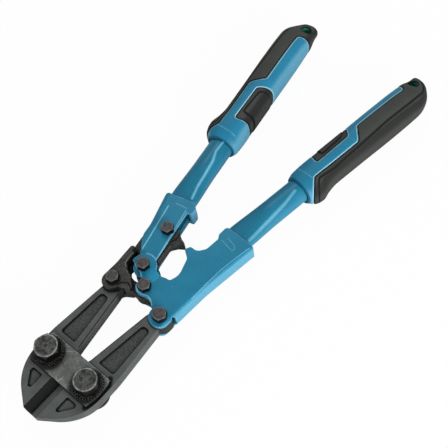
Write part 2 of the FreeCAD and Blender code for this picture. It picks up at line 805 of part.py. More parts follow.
def make_pieces():
    """Every piece by name, in the tool frame."""
    core, sleeve, pad = grip_solids()
    right_tube_end = (right_channel_end - right_grip_start[1]) / math.cos(math.radians(right_lean))
    left_tube_end = (left_channel_end - left_grip_start[1]) / math.cos(math.radians(left_lean))
    shank = pivot_shank_radius
    flats = pivot_head_flats
    pieces = {
        "right_blade": right_blade_solid(shank + pin_clearance),
        "left_blade": other_side(right_blade_solid(shank + open_pivot_clearance)),
        "front_jaw_plate": jaw_plate_solid(inner_half, jaw_plate_half),
        "back_jaw_plate": jaw_plate_solid(-jaw_plate_half, -inner_half),
        "jaw_bolts": Part.makeCompound([jaw_bolt_solid(-jaw_x), jaw_bolt_solid(jaw_x)]),
        "toothed_washers": Part.makeCompound([toothed_washer_solid(-jaw_x), toothed_washer_solid(jaw_x)]),
        "back_washers": Part.makeCompound([
            washer((x, 0), jaw_shank_radius, toothed_washer_radius, -jaw_seat, -jaw_plate_half)
            for x in (-jaw_x, jaw_x)]),
        "jaw_nuts": Part.makeCompound([
            hex_nut((x, 0), jaw_shank_radius, jaw_head_flats, -jaw_seat, jaw_nut_end)
            for x in (-jaw_x, jaw_x)]),
        "lever": lever_solid(),
        "lever_bush": ring(lever_pivot, shank + pin_clearance, shank + bush_wall, -web_half, web_half),
        "fork_bolt": hex_bolt(tail_left, shank, flats, cheek_half, cheek_half + pivot_head_height,
                              -cheek_half - pivot_nut_height, 10.0),
        "fork_nut": hex_nut(tail_left, shank, flats, -cheek_half, -cheek_half - pivot_nut_height),
        "right_channel": right_channel_solid(),
        "right_tube": to_right_handle(tube_solid(right_tube_end)),
        "right_grip_core": to_right_handle(core),
        "right_grip_sleeve": to_right_handle(sleeve),
        "right_grip_pad": to_right_handle(pad),
        "tail_bolt": hex_bolt(tail_right, shank, tail_head_flats, right_half, right_half + pivot_head_height,
                              -right_half - pivot_nut_height, 5.0),
        "lever_pivot_bolt": hex_bolt(lever_pivot, shank, flats, right_half, right_half + pivot_head_height,
                                     -right_half - pivot_nut_height),
        "handle_pivot_bolt": hex_bolt(handle_pivot, shank, flats, ear_half, ear_half + pivot_head_height,
                                      -ear_half - pivot_nut_height, 20.0),
        "pivot_nuts": Part.makeCompound([
            hex_nut(tail_right, shank, flats, -right_half, -right_half - pivot_nut_height),
            hex_nut(lever_pivot, shank, flats, -right_half, -right_half - pivot_nut_height),
            hex_nut(handle_pivot, shank, flats, -ear_half, -ear_half - pivot_nut_height)]),
        "left_channel": left_channel_solid(),
        "left_tube": to_left_handle(tube_solid(left_tube_end)),
        "left_grip_core": to_left_handle(core),
        "left_grip_sleeve": to_left_handle(sleeve),
        "left_grip_pad": to_left_handle(pad),
        "handle_pivot_spacer": ring(handle_pivot, shank + pin_clearance, pivot_spacer_radius,
                                    -left_inner_half, left_inner_half),
        "link_bolt": hex_bolt(link_pin, shank, flats, left_half, left_half + pivot_head_height,
                              -left_half - pivot_nut_height, 12.0),
        "link_nut": hex_nut(link_pin, shank, flats, -left_half, -left_half - pivot_nut_height),
    }
    return pieces


def frame_shift(pieces):
    """Move that centres the tool over the origin and stands it on z = 0."""
    box = Part.makeCompound(list(pieces.values())).optimalBoundingBox(False)
    return Vector(-(box.XMin + box.XMax) / 2, -(box.YMin + box.YMax) / 2, -box.ZMin)


def main():
    os.makedirs("parts", exist_ok=True)
    pieces = make_pieces()
    move = frame_shift(pieces)
    for name, shape in pieces.items():
        shape.translate(move)
        shape.exportStep("parts/" + name + ".step")
    print("frame shift", move)


if __name__ == "__main__":
    main()
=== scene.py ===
import json
import math
import bmesh
import bpy
import numpy as np
from mathutils import Matrix, Vector


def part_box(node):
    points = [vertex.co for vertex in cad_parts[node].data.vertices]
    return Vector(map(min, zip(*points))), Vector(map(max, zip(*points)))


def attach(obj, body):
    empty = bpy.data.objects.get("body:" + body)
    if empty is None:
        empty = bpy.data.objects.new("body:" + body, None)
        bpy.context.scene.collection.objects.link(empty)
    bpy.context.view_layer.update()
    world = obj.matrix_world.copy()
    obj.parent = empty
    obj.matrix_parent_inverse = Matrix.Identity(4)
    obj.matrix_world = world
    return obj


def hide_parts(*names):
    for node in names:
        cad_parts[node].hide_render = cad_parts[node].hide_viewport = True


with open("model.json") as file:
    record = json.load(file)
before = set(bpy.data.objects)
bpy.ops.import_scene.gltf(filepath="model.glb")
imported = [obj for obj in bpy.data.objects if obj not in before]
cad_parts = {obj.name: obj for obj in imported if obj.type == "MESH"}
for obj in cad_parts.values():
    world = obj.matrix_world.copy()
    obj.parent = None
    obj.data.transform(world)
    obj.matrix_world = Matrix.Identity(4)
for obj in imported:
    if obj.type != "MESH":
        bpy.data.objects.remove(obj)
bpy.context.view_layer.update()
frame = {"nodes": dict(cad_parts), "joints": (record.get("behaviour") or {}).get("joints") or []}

scene = bpy.context.scene
scene.view_settings.view_transform = "Standard"


# ---- Studio ----
# A white table top under two large soft lamps and an even white room.
# The camera looks down at the jaws, with the handles running away to the upper right.

def added(name, data):
    """Puts an object with its data into the scene."""
    made = bpy.data.objects.new(name, data)
    scene.collection.objects.link(made)
    return made


camera_data = bpy.data.cameras.new("camera")
camera_data.lens = 69.9
camera_data.sensor_width = 36
camera = added("camera", camera_data)
camera.location = (0.203254, -0.165970, 0.447731)
camera.rotation_euler = [math.radians(angle) for angle in (29.919, 5.119, 40.775)]
scene.camera = camera


def soft_lamp(name, place, size, power):
    """A large square lamp that looks at the middle of the table."""
    data = bpy.data.lights.new(name, "AREA")
    data.size = size
    data.energy = power
    lamp = added(name, data)
    lamp.location = place
    lamp.rotation_euler = (-Vector(place)).to_track_quat("-Z", "Y").to_euler()


def either(tree, first, second):
    """The larger of two shader values."""
    larger = tree.nodes.new("ShaderNodeMath")
    larger.operation = "MAXIMUM"
    tree.links.new(first, larger.inputs[0])
    tree.links.new(second, larger.inputs[1])
    return larger.outputs[0]


def blended(tree, share, first, second, end):
    """Ends a shader tree in one shader that passes into another by a share."""
    mix = tree.nodes.new("ShaderNodeMixShader")
    for socket, value in zip(mix.inputs, (share, first, second)):
        tree.links.new(value, socket)
    tree.links.new(mix.outputs[0], tree.nodes[end].inputs[0])


soft_lamp("side lamp", (1.1, -0.25, 0.35), 0.7, 13.0)
soft_lamp("top lamp", (-0.5, 0.55, 0.9), 0.35, 2.2)

world = bpy.data.worlds.new("white room")
scene.world = world
world.use_nodes = True
room = world.node_tree
room_light = room.nodes["Background"]
room_seen = room.nodes.new("ShaderNodeBackground")
for background, strength in ((room_light, 0.5), (room_seen, 1.0)):
    background.inputs["Color"].default_value = (1.0, 1.0, 1.0, 1.0)
    background.inputs["Strength"].default_value = strength
rays = room.nodes.new("ShaderNodeLightPath").outputs
mirrored = either(room, rays["Is Glossy Ray"], rays["Is Transmission Ray"])
seen = either(room, rays["Is Camera Ray"], mirrored)
blended(room, seen, room_light.outputs[0], room_seen.outputs[0], "World Output")

floor_mesh = bpy.data.meshes.new("table top")
floor_mesh.from_pydata([(-4, -4, 0), (4, -4, 0), (4, 4, 0), (-4, 4, 0)], [], [(0, 1, 2, 3)])
floor = added("table top", floor_mesh)
table_white = bpy.data.materials.new("table white")
table_white.use_nodes = True
table = table_white.node_tree
paper = table.nodes["Principled BSDF"]
paper.inputs["Base Color"].default_value = (0.93, 0.93, 0.93, 1.0)
paper.inputs["Roughness"].default_value = 0.9
glow = table.nodes.new("ShaderNodeEmission")
glow_share = table.nodes.new("ShaderNodeMath")
glow_share.operation = "MULTIPLY"
glow_share.inputs[1].default_value = 0.96
table.links.new(table.nodes.new("ShaderNodeLightPath").outputs["Is Camera Ray"], glow_share.inputs[0])
blended(table, glow_share.outputs[0], paper.outputs[0], glow.outputs[0], "Material Output")
floor_mesh.materials.append(table_white)


# ---- Blades ----
# Two drop-forged jaws with long arms: satin grey skin, shallow panels on both faces of nose and arm.
# The cutting edges are ground as bright bevels after forging; the tails carry round bosses for the pivots.

mm = 0.001
plate_low, plate_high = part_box("front_jaw_plate")
middle = (plate_low + plate_high) / 2
middle.z = frame["joints"][0]["pos_m"][2]


def at(x, y, z=0.0):
    """Place in metres of a point given in millimetres from the middle between the jaw bolts."""
    return middle + Vector((x, y, z)) * mm


class Wire:
    """One output in a material, so that sums on values and masks read as sums."""

    def __init__(self, finish, socket):
        self.finish = finish
        self.socket = socket

    def __add__(self, other):
        return self.finish.math_of("ADD", self, other)

    def __sub__(self, other):
        return self.finish.math_of("SUBTRACT", self, other)

    def __rsub__(self, other):
        return self.finish.math_of("SUBTRACT", other, self)

    def __mul__(self, other):
        return self.finish.math_of("MULTIPLY", self, other)

    def __truediv__(self, other):
        return self.finish.math_of("DIVIDE", self, other)

    __radd__ = __add__
    __rmul__ = __mul__

    def above(self, low, high):
        """0 below low, 1 over high, smooth between them."""
        return self.finish.node("ShaderNodeMapRange", {"Value": self, "From Min": low, "From Max": high},
                                interpolation_type="SMOOTHSTEP")

    def size(self):
        """The value without its sign."""
        return self.finish.math_of("ABSOLUTE", self)


class Finish:
    """A material being put together on its Principled shader."""

    def __init__(self, name, values):
        self.material = bpy.data.materials.new(name)
        self.material.use_nodes = True
        self.tree = self.material.node_tree
        self.shader = self.tree.nodes["Principled BSDF"]
        for socket, value in values.items():
            self.feed(socket, value)
        self.place = self.node("ShaderNodeTexCoord", output="Object")

    def put(self, socket, value):
        """Links a wire to a socket, or gives the socket a plain value."""
        if isinstance(value, Wire):
            self.tree.links.new(value.socket, socket)
        else:
            socket.default_value = value

    def feed(self, name, value):
        """Links or sets a socket of the shader."""
        self.put(self.shader.inputs[name], value)

    def node(self, kind, values=None, output=0, **settings):
        """Adds a node with its settings, fills its sockets and hands over one output."""
        made = self.tree.nodes.new(kind)
        for key, value in settings.items():
            setattr(made, key, value)
        for key, value in (values or {}).items():
            self.put(made.inputs[key], value)
        return Wire(self, made.outputs[output])

    def math_of(self, operation, *values):
        """One sum, product or other function of values."""
        return self.node("ShaderNodeMath", dict(enumerate(values)), operation=operation)

    def noise(self, grain, detail=3.0, roughness=0.55, place=None):
        """Cloudy pattern with features of a size in millimetres, from 0 to 1."""
        return self.node("ShaderNodeTexNoise", {"Vector": place or self.place, "Scale": 1000.0 / grain,
                                                "Detail": detail, "Roughness": roughness})

    def cells(self, grain):
        """Distance to the nearest of scattered points, spaced by a size in millimetres."""
        values = {"Vector": self.place, "Scale": 1000.0 / grain}
        return self.node("ShaderNodeTexVoronoi", values, "Distance")

    def turned(self, degrees, stretch):
        """Coordinates turned about the vertical and squeezed, for brushed and scratched patterns."""
        values = {"Vector": self.place, "Rotation": (0.0, 0.0, math.radians(degrees)), "Scale": stretch}
        return self.node("ShaderNodeMapping", values, "Vector", vector_type="TEXTURE")

    def value(self, name):
        """A number that the mesh itself holds at each vertex."""
        return self.node("ShaderNodeAttribute", output="Fac", attribute_name=name)

    def map(self, name):
        """Coordinates that a map of the mesh holds."""
        return self.node("ShaderNodeUVMap", output="UV", uv_map=name)

    def normal(self):
        """The way that the surface faces."""
        return self.node("ShaderNodeNewGeometry", output="Normal")

    def axes(self, place):
        """The three coordinates of a place as separate values."""
        made = self.tree.nodes.new("ShaderNodeSeparateXYZ")
        self.tree.links.new(place.socket, made.inputs[0])
        return [Wire(self, out) for out in made.outputs]

    def mixed(self, share, first, second):
        """Colour between two colours or colour wires."""
        return self.node("ShaderNodeMix", {0: share, 6: first, 7: second}, 2, data_type="RGBA")

    def tint(self, share, colour):
        """Lays a colour over the tone so far."""
        self.tone = self.mixed(share, self.tone, colour)

    def edges(self, reach):
        """Mask of edges within a reach in millimetres, where the normal is softened too."""
        self.soft = self.node("ShaderNodeBevel", {"Radius": reach * mm}, samples=6)
        sides = {0: self.soft, 1: self.normal()}
        along = self.node("ShaderNodeVectorMath", sides, "Value", operation="DOT_PRODUCT")
        return (1.0 - along).above(0.008, 0.1)

    def corners(self, reach, alone=True):
        """Mask of inner corners and hollows where shade is painted, of the piece alone or with its
        neighbours.
        """
        open_sky = self.node("ShaderNodeAmbientOcclusion", {"Distance": reach * mm}, "AO",
                             samples=8, only_local=alone)
        return (1.0 - open_sky).above(0.05, 0.4)

    def tilt(self):
        """0 on level faces, 1 on upright walls."""
        return 1.0 - self.axes(self.normal())[2].size()

    def walls(self):
        """Mask of upright side walls."""
        return self.tilt().above(0.3, 0.7)

    def plan(self, uv_map=None):
        """Millimetres across, along and up from the jaw bolts' middle, or a map of a piece's own plan."""
        if uv_map:
            return self.axes(self.map(uv_map))
        return [(axis - start) / mm for axis, start in zip(self.axes(self.place), middle)]

    def distance(self, across, along):
        """Length of a step on the plan."""
        return self.math_of("SQRT", across * across + along * along)

    def line(self, points, half, soft=0.25, uv_map=None):
        """Mask of a thin line drawn on a plan through points in millimetres."""
        across, along = self.plan(uv_map)[:2]
        nearest = None
        for (x, y), (next_x, next_y) in zip(points, points[1:]):
            run, rise = next_x - x, next_y - y
            length = run * run + rise * rise
            right = across - x
            ahead = along - y
            share = self.math_of("MAXIMUM", (right * run + ahead * rise) / length, 0.0)
            share = self.math_of("MINIMUM", share, 1.0)
            gap = self.distance(right - share * run, ahead - share * rise)
            nearest = gap if nearest is None else self.math_of("MINIMUM", nearest, gap)
        return 1.0 - nearest.above(half - soft, half + soft)

    def finished(self):
        """Connects the tone, roughness and height and hands over the material."""
        self.feed("Base Color", self.tone)
        self.feed("Roughness", self.rough)
        relief = {"Height": self.height, "Strength": 1.0, "Distance": self.depth * mm, "Normal": self.soft}
        self.feed("Normal", self.node("ShaderNodeBump", relief, "Normal"))
        return self.material


def paint(red, green, blue):
    """A colour in the 0 to 255 of paint charts as the linear colour that a shader takes."""
    levels = [value / 255 for value in (red, green, blue)]
    return tuple(v / 12.92 if v <= 0.04045 else ((v + 0.055) / 1.055) ** 2.4 for v in levels) + (1.0,)


def forged_steel(name, skin, edge_wear_and_shading, grain_depth):
    """Satin forging skin: fine grain, cloudy tone, edges tinted with an edge colour, lighter for wear and
    painted highlight and near black on the blades for painted shade lines, and painted shade in inner
    corners.
    """
    steel = Finish(name, {"Metallic": 0.2, "Specular IOR Level": 0.1})
    cloud = steel.noise(7.0)
    grain = steel.noise(0.45, detail=5.0)
    worn_and_shaded_edges = steel.edges(0.35) * steel.noise(2.0).above(0.3, 0.55)
    dark = tuple(level * 0.68 for level in skin[:3]) + (1.0,)
    steel.tone = steel.mixed((cloud * 0.5 + grain * 0.5).above(0.35, 0.65), dark, skin)
    # Edges take the edge colour: lighter as wear and painted highlight, near black on the blades as painted
    # shade lines.
    steel.tint(worn_and_shaded_edges * 0.75, edge_wear_and_shading)
    # Inner corners painted near black as painted shade.
    steel.tint(steel.corners(1.8), paint(2, 2, 2))
    steel.rough = 0.44 + grain * 0.12 + cloud * 0.08 - worn_and_shaded_edges * 0.1
    steel.height = grain * 0.6 + steel.noise(1.6) * 0.8
    steel.depth = grain_depth
    return steel


# The blades' edge colour is near black, painted as shade lines along their edges.
blade = forged_steel("forged blade steel", paint(92, 96, 94), paint(30, 31, 31), 0.05)
beside, ahead, level = blade.plan()
nose = 1.0 - ahead.above(-2.6, -2.4)
floor_low = level.size().above(2.9, 3.3)
panel = (1.0 - floor_low) * (1.0 - blade.walls())
panel_rough = blade.noise(1.1, detail=4.0).above(0.42, 0.6)
panel_shade = (0.25 + panel_rough * 0.35) * (1.0 - nose * 0.8)
blade.tint(panel * panel_shade, paint(34, 36, 35))
blade.height = blade.height + panel * panel_rough
left_bevel = beside.above(-4.9, -4.8) * (1.0 - beside.above(-0.05, 0.05)) * nose
right_bevel = beside.above(-0.05, 0.05) * (1.0 - beside.above(3.8, 3.95)) * nose
stripes = blade.noise(0.3, place=blade.turned(0.0, (10.0, 1.0, 10.0)))
# The left bevel is painted near black as painted shade, and the right bevel light as painted highlight,
# each over grinding stripes.
blade.tint(left_bevel, blade.mixed(stripes, paint(9, 10, 10), paint(18, 20, 20)))
blade.tint(right_bevel, blade.mixed(stripes, paint(92, 93, 92), paint(110, 111, 110)))
ground = left_bevel + right_bevel
blade.rough = blade.rough * (1.0 - ground) + ground * (0.4 + stripes * 0.08)
blade.height = blade.height * (1.0 - ground * 0.8) + stripes * ground * 0.15
# Near-black lines painted as shade: along the arms' edges, on the arm under the lever's fork, and as the
# jaw plate's shadow past its right end.
blade_shade_lines = (
    ([(-5.4, 12.0), (-10.85, 48.5)], 0.3, 0.85),
    ([(5.4, 12.0), (10.85, 48.5)], 0.3, 0.85),
    ([(-22.2, 47.0), (-18.8, 46.4), (-14.9, 47.4), (-11.2, 49.8)], 0.8, 0.7),
    ([(20.6, 9.8), (23.3, 6.2), (24.3, 0.0), (23.2, -6.2), (21.4, -9.6)], 1.7, 0.95),
)
for points, half, share in blade_shade_lines:
    shade_and_highlight_mark = blade.line(points, half, half * 0.5) * (1.0 - blade.walls())
    blade.tint(shade_and_highlight_mark * share, paint(4, 4, 4))
# The tail walls are painted dark as painted shade.
tail_wall_shade = blade.walls() * ahead.above(45.0, 48.0)
blade.tint(tail_wall_shade * 0.7, paint(16, 17, 16))
# Painted shade on the blades next to the plates, washers and lever.
blade.tint(blade.corners(1.6, False) * 0.85, paint(4, 4, 4))
blade_steel = blade.finished()


def recoated(mesh, material):
    """Gives a mesh one finish."""
    mesh.materials.clear()
    mesh.materials.append(material)


def rounded_edges(piece, width, turn):
    """Rounds the edges where faces turn by more than some degrees, by a width in millimetres."""
    piece.data.set_sharp_from_angle(angle=math.radians(turn))
    bevel = piece.modifiers.new("edge rounding", "BEVEL")
    bevel.width = width * mm
    bevel.segments = 2
    bevel.limit_method = "ANGLE"
    bevel.angle_limit = math.radians(turn)
    bevel.harden_normals = True


def dressed_copy(node, body, width, material):
    """A clean copy of a CAD solid with rounded edges, which then stands for it."""
    mesh = frame["nodes"][node].data.copy()
    work = bmesh.new()
    work.from_mesh(mesh)
    bmesh.ops.remove_doubles(work, verts=work.verts, dist=0.002 * mm)
    bmesh.ops.dissolve_limit(work, angle_limit=math.radians(0.8), verts=work.verts, edges=work.edges)
    for face in work.faces:
        face.smooth = True
    work.to_mesh(mesh)
    work.free()
    recoated(mesh, material)
    piece = added("dressed_" + node, mesh)
    rounded_edges(piece, width, 32.0)
    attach(piece, body)
    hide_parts(node)


for name in ("right_blade", "left_blade"):
    dressed_copy(name, name, 0.3, blade_steel)


# ---- Jaw plates ----
# Two stamped plates of bare hardened steel that carry both blades on their bolts.
# Their faces are dark, worn by rubbing and scratched in use, and their edges are painted light, as wear and
# as painted highlight.

jaw_bolt_x = 15.0
plate = forged_steel("bare plate steel", paint(118, 122, 118), paint(196, 198, 194), 0.02)
plate_blotch = plate.noise(2.6, detail=5.0, roughness=0.7).above(0.4, 0.62)
plate.tint(plate_blotch * 0.45, paint(74, 77, 74))
for turn, reach in ((38.0, 26.0), (-24.0, 34.0), (80.0, 20.0)):
    lines = plate.noise(0.5, detail=1.0, place=plate.turned(turn, (reach, 1.0, 1.0)))
    scratch = lines.above(0.66, 0.72)
    plate.tint(scratch * 0.55, paint(178, 180, 176))
    plate.height = plate.height - scratch * 0.5
across, along = plate.plan()[:2]
# A dark ring round each jaw washer, painted as its shadow.
for side in (-1.0, 1.0):
    far = plate.distance(across - side * jaw_bolt_x, along + 1.5)
    plate.tint((1.0 - far.above(8.6, 11.5)) * 0.85, paint(12, 13, 12))
plate.rough = plate.rough - 0.08
plate.feed("Metallic", 0.4)
plate_steel = plate.finished()

for name in ("front_jaw_plate", "back_jaw_plate"):
    dressed_copy(name, "jaw_plates", 0.3, plate_steel)


# ---- Jaw bolts, washers and nuts ----
# Two heavy hexagon bolts with turned, chamfered heads over serrated locking washers.
# Their shanks end flush in thick nuts on the back, over plain washers.

jaw_flats = 13.2
jaw_shank_radius = 4.5
disc_share = 0.97
shank_in_head = 0.5


def spot(node):
    """Place, low end and high end of a node, in millimetres from the middle between the jaw bolts."""
    low, high = ((corner - middle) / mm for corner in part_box(node))
    return ((low.x + high.x) / 2, (low.y + high.y) / 2), low.z, high.z


def circle(radius, height, sides, centre=Vector()):
    """Places round a level circle about a centre in metres, its radius and height in millimetres."""
    turns = (2 * math.pi * index / sides for index in range(sides))
    return [centre + Vector((radius * math.cos(angle), radius * math.sin(angle), height)) * mm
            for angle in turns]


def skinned(solid, rings, ends="lidded"):
    """Adds a skin over rings of places to a mesh; its ends are lidded, open or joined to each other."""
    rows = [[solid.verts.new(place) for place in ring] for ring in rings]
    following = rows[1:] + rows[:1] if ends == "joined" else rows[1:]
    faces = []
    for lower, upper in zip(rows, following):
        for index in range(len(lower)):
            after = (index + 1) % len(lower)
            faces.append(solid.faces.new((lower[index], lower[after], upper[after], upper[index])))
    if ends == "lidded":
        faces.append(solid.faces.new(rows[-1]))
        faces.append(solid.faces.new(rows[0][::-1]))
    return faces


def turned_hexagon(solid, centre, flats, low, high, turn):
    """Adds a hexagon with a turned chamfer at its high end, which faces up or down, to a mesh."""
    sides = 96
    up_way = 1.0 if high > low else -1.0
    disc = flats / 2 * disc_share
    slope = math.tan(math.radians(50.0))
    rings = [[], [], [], []]
    for index in range(sides):
        angle = 2 * math.pi * index / sides
        bearing = (math.degrees(angle) - turn) % 60.0 - 30.0
        reach = flats / 2 / math.cos(math.radians(bearing))
        shoulder = high - up_way * (reach - disc) * slope
        levels = ((reach, low), (reach, shoulder), (disc, high), (disc - 0.5, high))
        for ring, (radius, height) in zip(rings, levels):
            x = centre[0] + radius * math.cos(angle)
            ring.append(at(x, centre[1] + radius * math.sin(angle), height))
    skinned(solid, rings)


def turned_shank(solid, centre, radius, low, high):
    """Adds a round shank with a chamfered low end to a mesh."""
    chamfer = 0.5
    levels = ((radius - chamfer, low), (radius, low + chamfer), (radius, high))
    skinned(solid, [circle(reach, height, 48, at(*centre)) for reach, height in levels])


def mesh_of(solid, name):
    """A mesh of what has been put together."""
    mesh = bpy.data.meshes.new(name)
    solid.to_mesh(mesh)
    solid.free()
    return mesh


def hardware(name, body, solid, centres, flats, material, node):
    """Makes a piece of turned parts, with a map that counts 1 at the rim of each part's disc."""
    bmesh.ops.recalc_face_normals(solid, faces=solid.faces)
    marks = solid.loops.layers.uv.new("lathe")
    for face in solid.faces:
        face.smooth = True
        mid = face.calc_center_median()
        near = min(centres, key=lambda centre: (at(*centre).xy - mid.xy).length)
        for loop in face.loops:
            offset = loop.vert.co - at(*near)
            loop[marks].uv = offset.xy / (flats / 2 * disc_share * mm)
    piece = added(name, mesh_of(solid, name))
    recoated(piece.data, material)
    rounded_edges(piece, 0.12, 25.0)
    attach(piece, body)
    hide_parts(node)


def turned_steel(name, skin, light, corner_shade):
    """Oiled black bolt steel: a mottled disc with faint lathe rings, a rim painted bright as painted
    highlight, and flanks and hex corners painted dark as painted shade.
    """
    steel = forged_steel(name, skin, light, 0.012)
    out = steel.node("ShaderNodeVectorMath", {0: steel.map("lathe")}, "Value", operation="LENGTH")
    rings = steel.math_of("SINE", out * 90.0 + steel.noise(1.5) * 4.0) * 0.5 + 0.5
    mottle = steel.noise(2.2, detail=5.0, roughness=0.7).above(0.38, 0.62)
    top = 1.0 - steel.walls()
    beyond = out.above(1.0, 1.03)
    rim = out.above(0.86, 0.95) * (1.0 - beyond) * top
    steel.tint(mottle * top * 0.22 + rings * top * 0.06, light)
    # The rim of the disc is painted bright as a highlight; the flanks and the hex corners beyond the disc
    # are painted dark as painted shade.
    steel.tint(rim * (0.3 + mottle * 0.6), light)
    steel.tint((1.0 - top) * 0.95 + beyond * top * corner_shade, paint(8, 8, 8))
    steel.rough = steel.rough - 0.06 + rings * 0.05
    steel.height = steel.height + rings * 0.4 + mottle * 1.5
    steel.feed("Metallic", 0.4)
    return steel.finished()


jaw_bolt_steel = turned_steel("turned bolt steel", paint(36, 38, 36), paint(158, 160, 157), 0.7)
washer_low, washer_high = spot("toothed_washers")[1:]
jaw_top = spot("jaw_bolts")[2]
jaw_end = spot("jaw_nuts")[1]
jaw_centres = [(-jaw_bolt_x, 0.0), (jaw_bolt_x, 0.0)]

jaw_heads = bmesh.new()
jaw_nuts = bmesh.new()
for centre in jaw_centres:
    turned_hexagon(jaw_heads, centre, jaw_flats, washer_high, jaw_top, 12.0)
    turned_shank(jaw_heads, centre, jaw_shank_radius, jaw_end, washer_high + shank_in_head)
    turned_hexagon(jaw_nuts, centre, jaw_flats, -washer_high, jaw_end + 0.02, 4.0)
hardware("jaw_bolt_heads", "jaw_plates", jaw_heads, jaw_centres, jaw_flats, jaw_bolt_steel, "jaw_bolts")
hardware("jaw_back_nuts", "jaw_plates", jaw_nuts, jaw_centres, jaw_flats, jaw_bolt_steel, "jaw_nuts")


def serrated_washer_tree():
    """Geometry tree of a locking washer: a plain ring, with a raised tooth repeated all round its rim."""
    tree = bpy.data.node_groups.new("serrated washer", "GeometryNodeTree")
    tree.interface.new_socket(name="Geometry", in_out="OUTPUT", socket_type="NodeSocketGeometry")
    for kind, names in (("Geometry", ["Geometry"]), ("Int", ["Teeth"]), ("Material", ["Material"]),
                        ("Float", ["Radius", "Tooth length", "Tooth width", "Tooth height", "Tooth tilt"])):
        for name in names:
            tree.interface.new_socket(name=name, in_out="INPUT", socket_type="NodeSocket" + kind)

    def add(kind, *links, **settings):
        """Adds a node with its settings, links its inputs and hands over its outputs."""
        made = tree.nodes.new(kind)
        for key, value in settings.items():
            setattr(made, key, value)
        for key, output in links:
            tree.links.new(output, made.inputs[key])
        return made.outputs

    given = add("NodeGroupInput")
    rim = add("GeometryNodeMeshCircle", ("Vertices", given["Teeth"]), ("Radius", given["Radius"]))
    size = add("ShaderNodeCombineXYZ", (0, given["Tooth length"]), (1, given["Tooth width"]),
               (2, given["Tooth height"]))
    tooth = add("GeometryNodeMeshCube", ("Size", size[0]))
    tilt = add("ShaderNodeCombineXYZ", (0, given["Tooth tilt"]))
    turned = add("GeometryNodeTransform", ("Geometry", tooth["Mesh"]), ("Rotation", tilt[0]))
    place = add("GeometryNodeInputPosition")
    facing = add("FunctionNodeAlignEulerToVector", ("Vector", place[0]), axis="X", pivot_axis="Z")
    teeth = add("GeometryNodeInstanceOnPoints", ("Points", rim["Mesh"]), ("Instance", turned["Geometry"]),
                ("Rotation", facing["Rotation"]))
    joined = add("GeometryNodeJoinGeometry", (0, given["Geometry"]), (0, teeth[0]))
    real = add("GeometryNodeRealizeInstances", (0, joined[0]))
    coloured = add("GeometryNodeSetMaterial", ("Geometry", real[0]), ("Material", given["Material"]))
    add("NodeGroupOutput", (0, coloured[0]))
    return tree


def made_plain(piece, tree, sizes):
    """Runs a geometry tree on a piece with named sizes and keeps the result as its plain mesh."""
    modifier = piece.modifiers.new("made", "NODES")
    modifier.node_group = tree
    for socket in tree.interface.items_tree:
        if socket.name in sizes:
            modifier[socket.identifier] = sizes[socket.name]
    bpy.context.view_layer.update()
    result = bpy.data.meshes.new_from_object(piece.evaluated_get(bpy.context.evaluated_depsgraph_get()))
    piece.modifiers.remove(modifier)
    piece.data = result


def plain_washer(name):
    """The flat ring that carries the teeth of a locking washer."""
    bore, rim, top = jaw_shank_radius + 0.05, washer_radius - 0.9, washer_half - 0.35
    solid = bmesh.new()
    levels = ((bore, -washer_half), (rim, -washer_half), (rim, top), (bore, top))
    faces = skinned(solid, [circle(reach, height, 64) for reach, height in levels], "joined")
    bmesh.ops.recalc_face_normals(solid, faces=faces)
    return mesh_of(solid, name)


washer_tree = serrated_washer_tree()
washer_radius = 8.7
washer_half = (washer_high - washer_low) / 2
blackened = forged_steel("blackened washer steel", paint(26, 26, 26), paint(120, 120, 118), 0.02)
washer_steel = blackened.finished()
washer_sizes = {
    "Teeth": 34,
    "Radius": (washer_radius - 1.1) * mm,
    "Tooth length": 2.1 * mm,
    "Tooth width": 0.75 * mm,
    "Tooth height": (2 * washer_half - 0.45) * mm,
    "Tooth tilt": 0.32,
    "Material": washer_steel,
}
for side, centre in zip(("left", "right"), jaw_centres):
    washer = added(side + "_toothed_washer", plain_washer(side + " washer"))
    made_plain(washer, washer_tree, washer_sizes)
    washer.data.transform(Matrix.Translation(at(*centre, washer_low + washer_half)))
    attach(washer, "jaw_plates")
    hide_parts("toothed_washers")
recoated(frame["nodes"]["back_washers"].data, washer_steel)


# ---- Right handle head ----
# A sheet-metal channel folded over the right blade's tail, blue enamel over pressed steel.
# It holds the tail bolt, the lever pivot and the raised ears of the handle pivot.

highlight_blue = paint(140, 214, 240)
lit_wall_blue = paint(120, 186, 212)


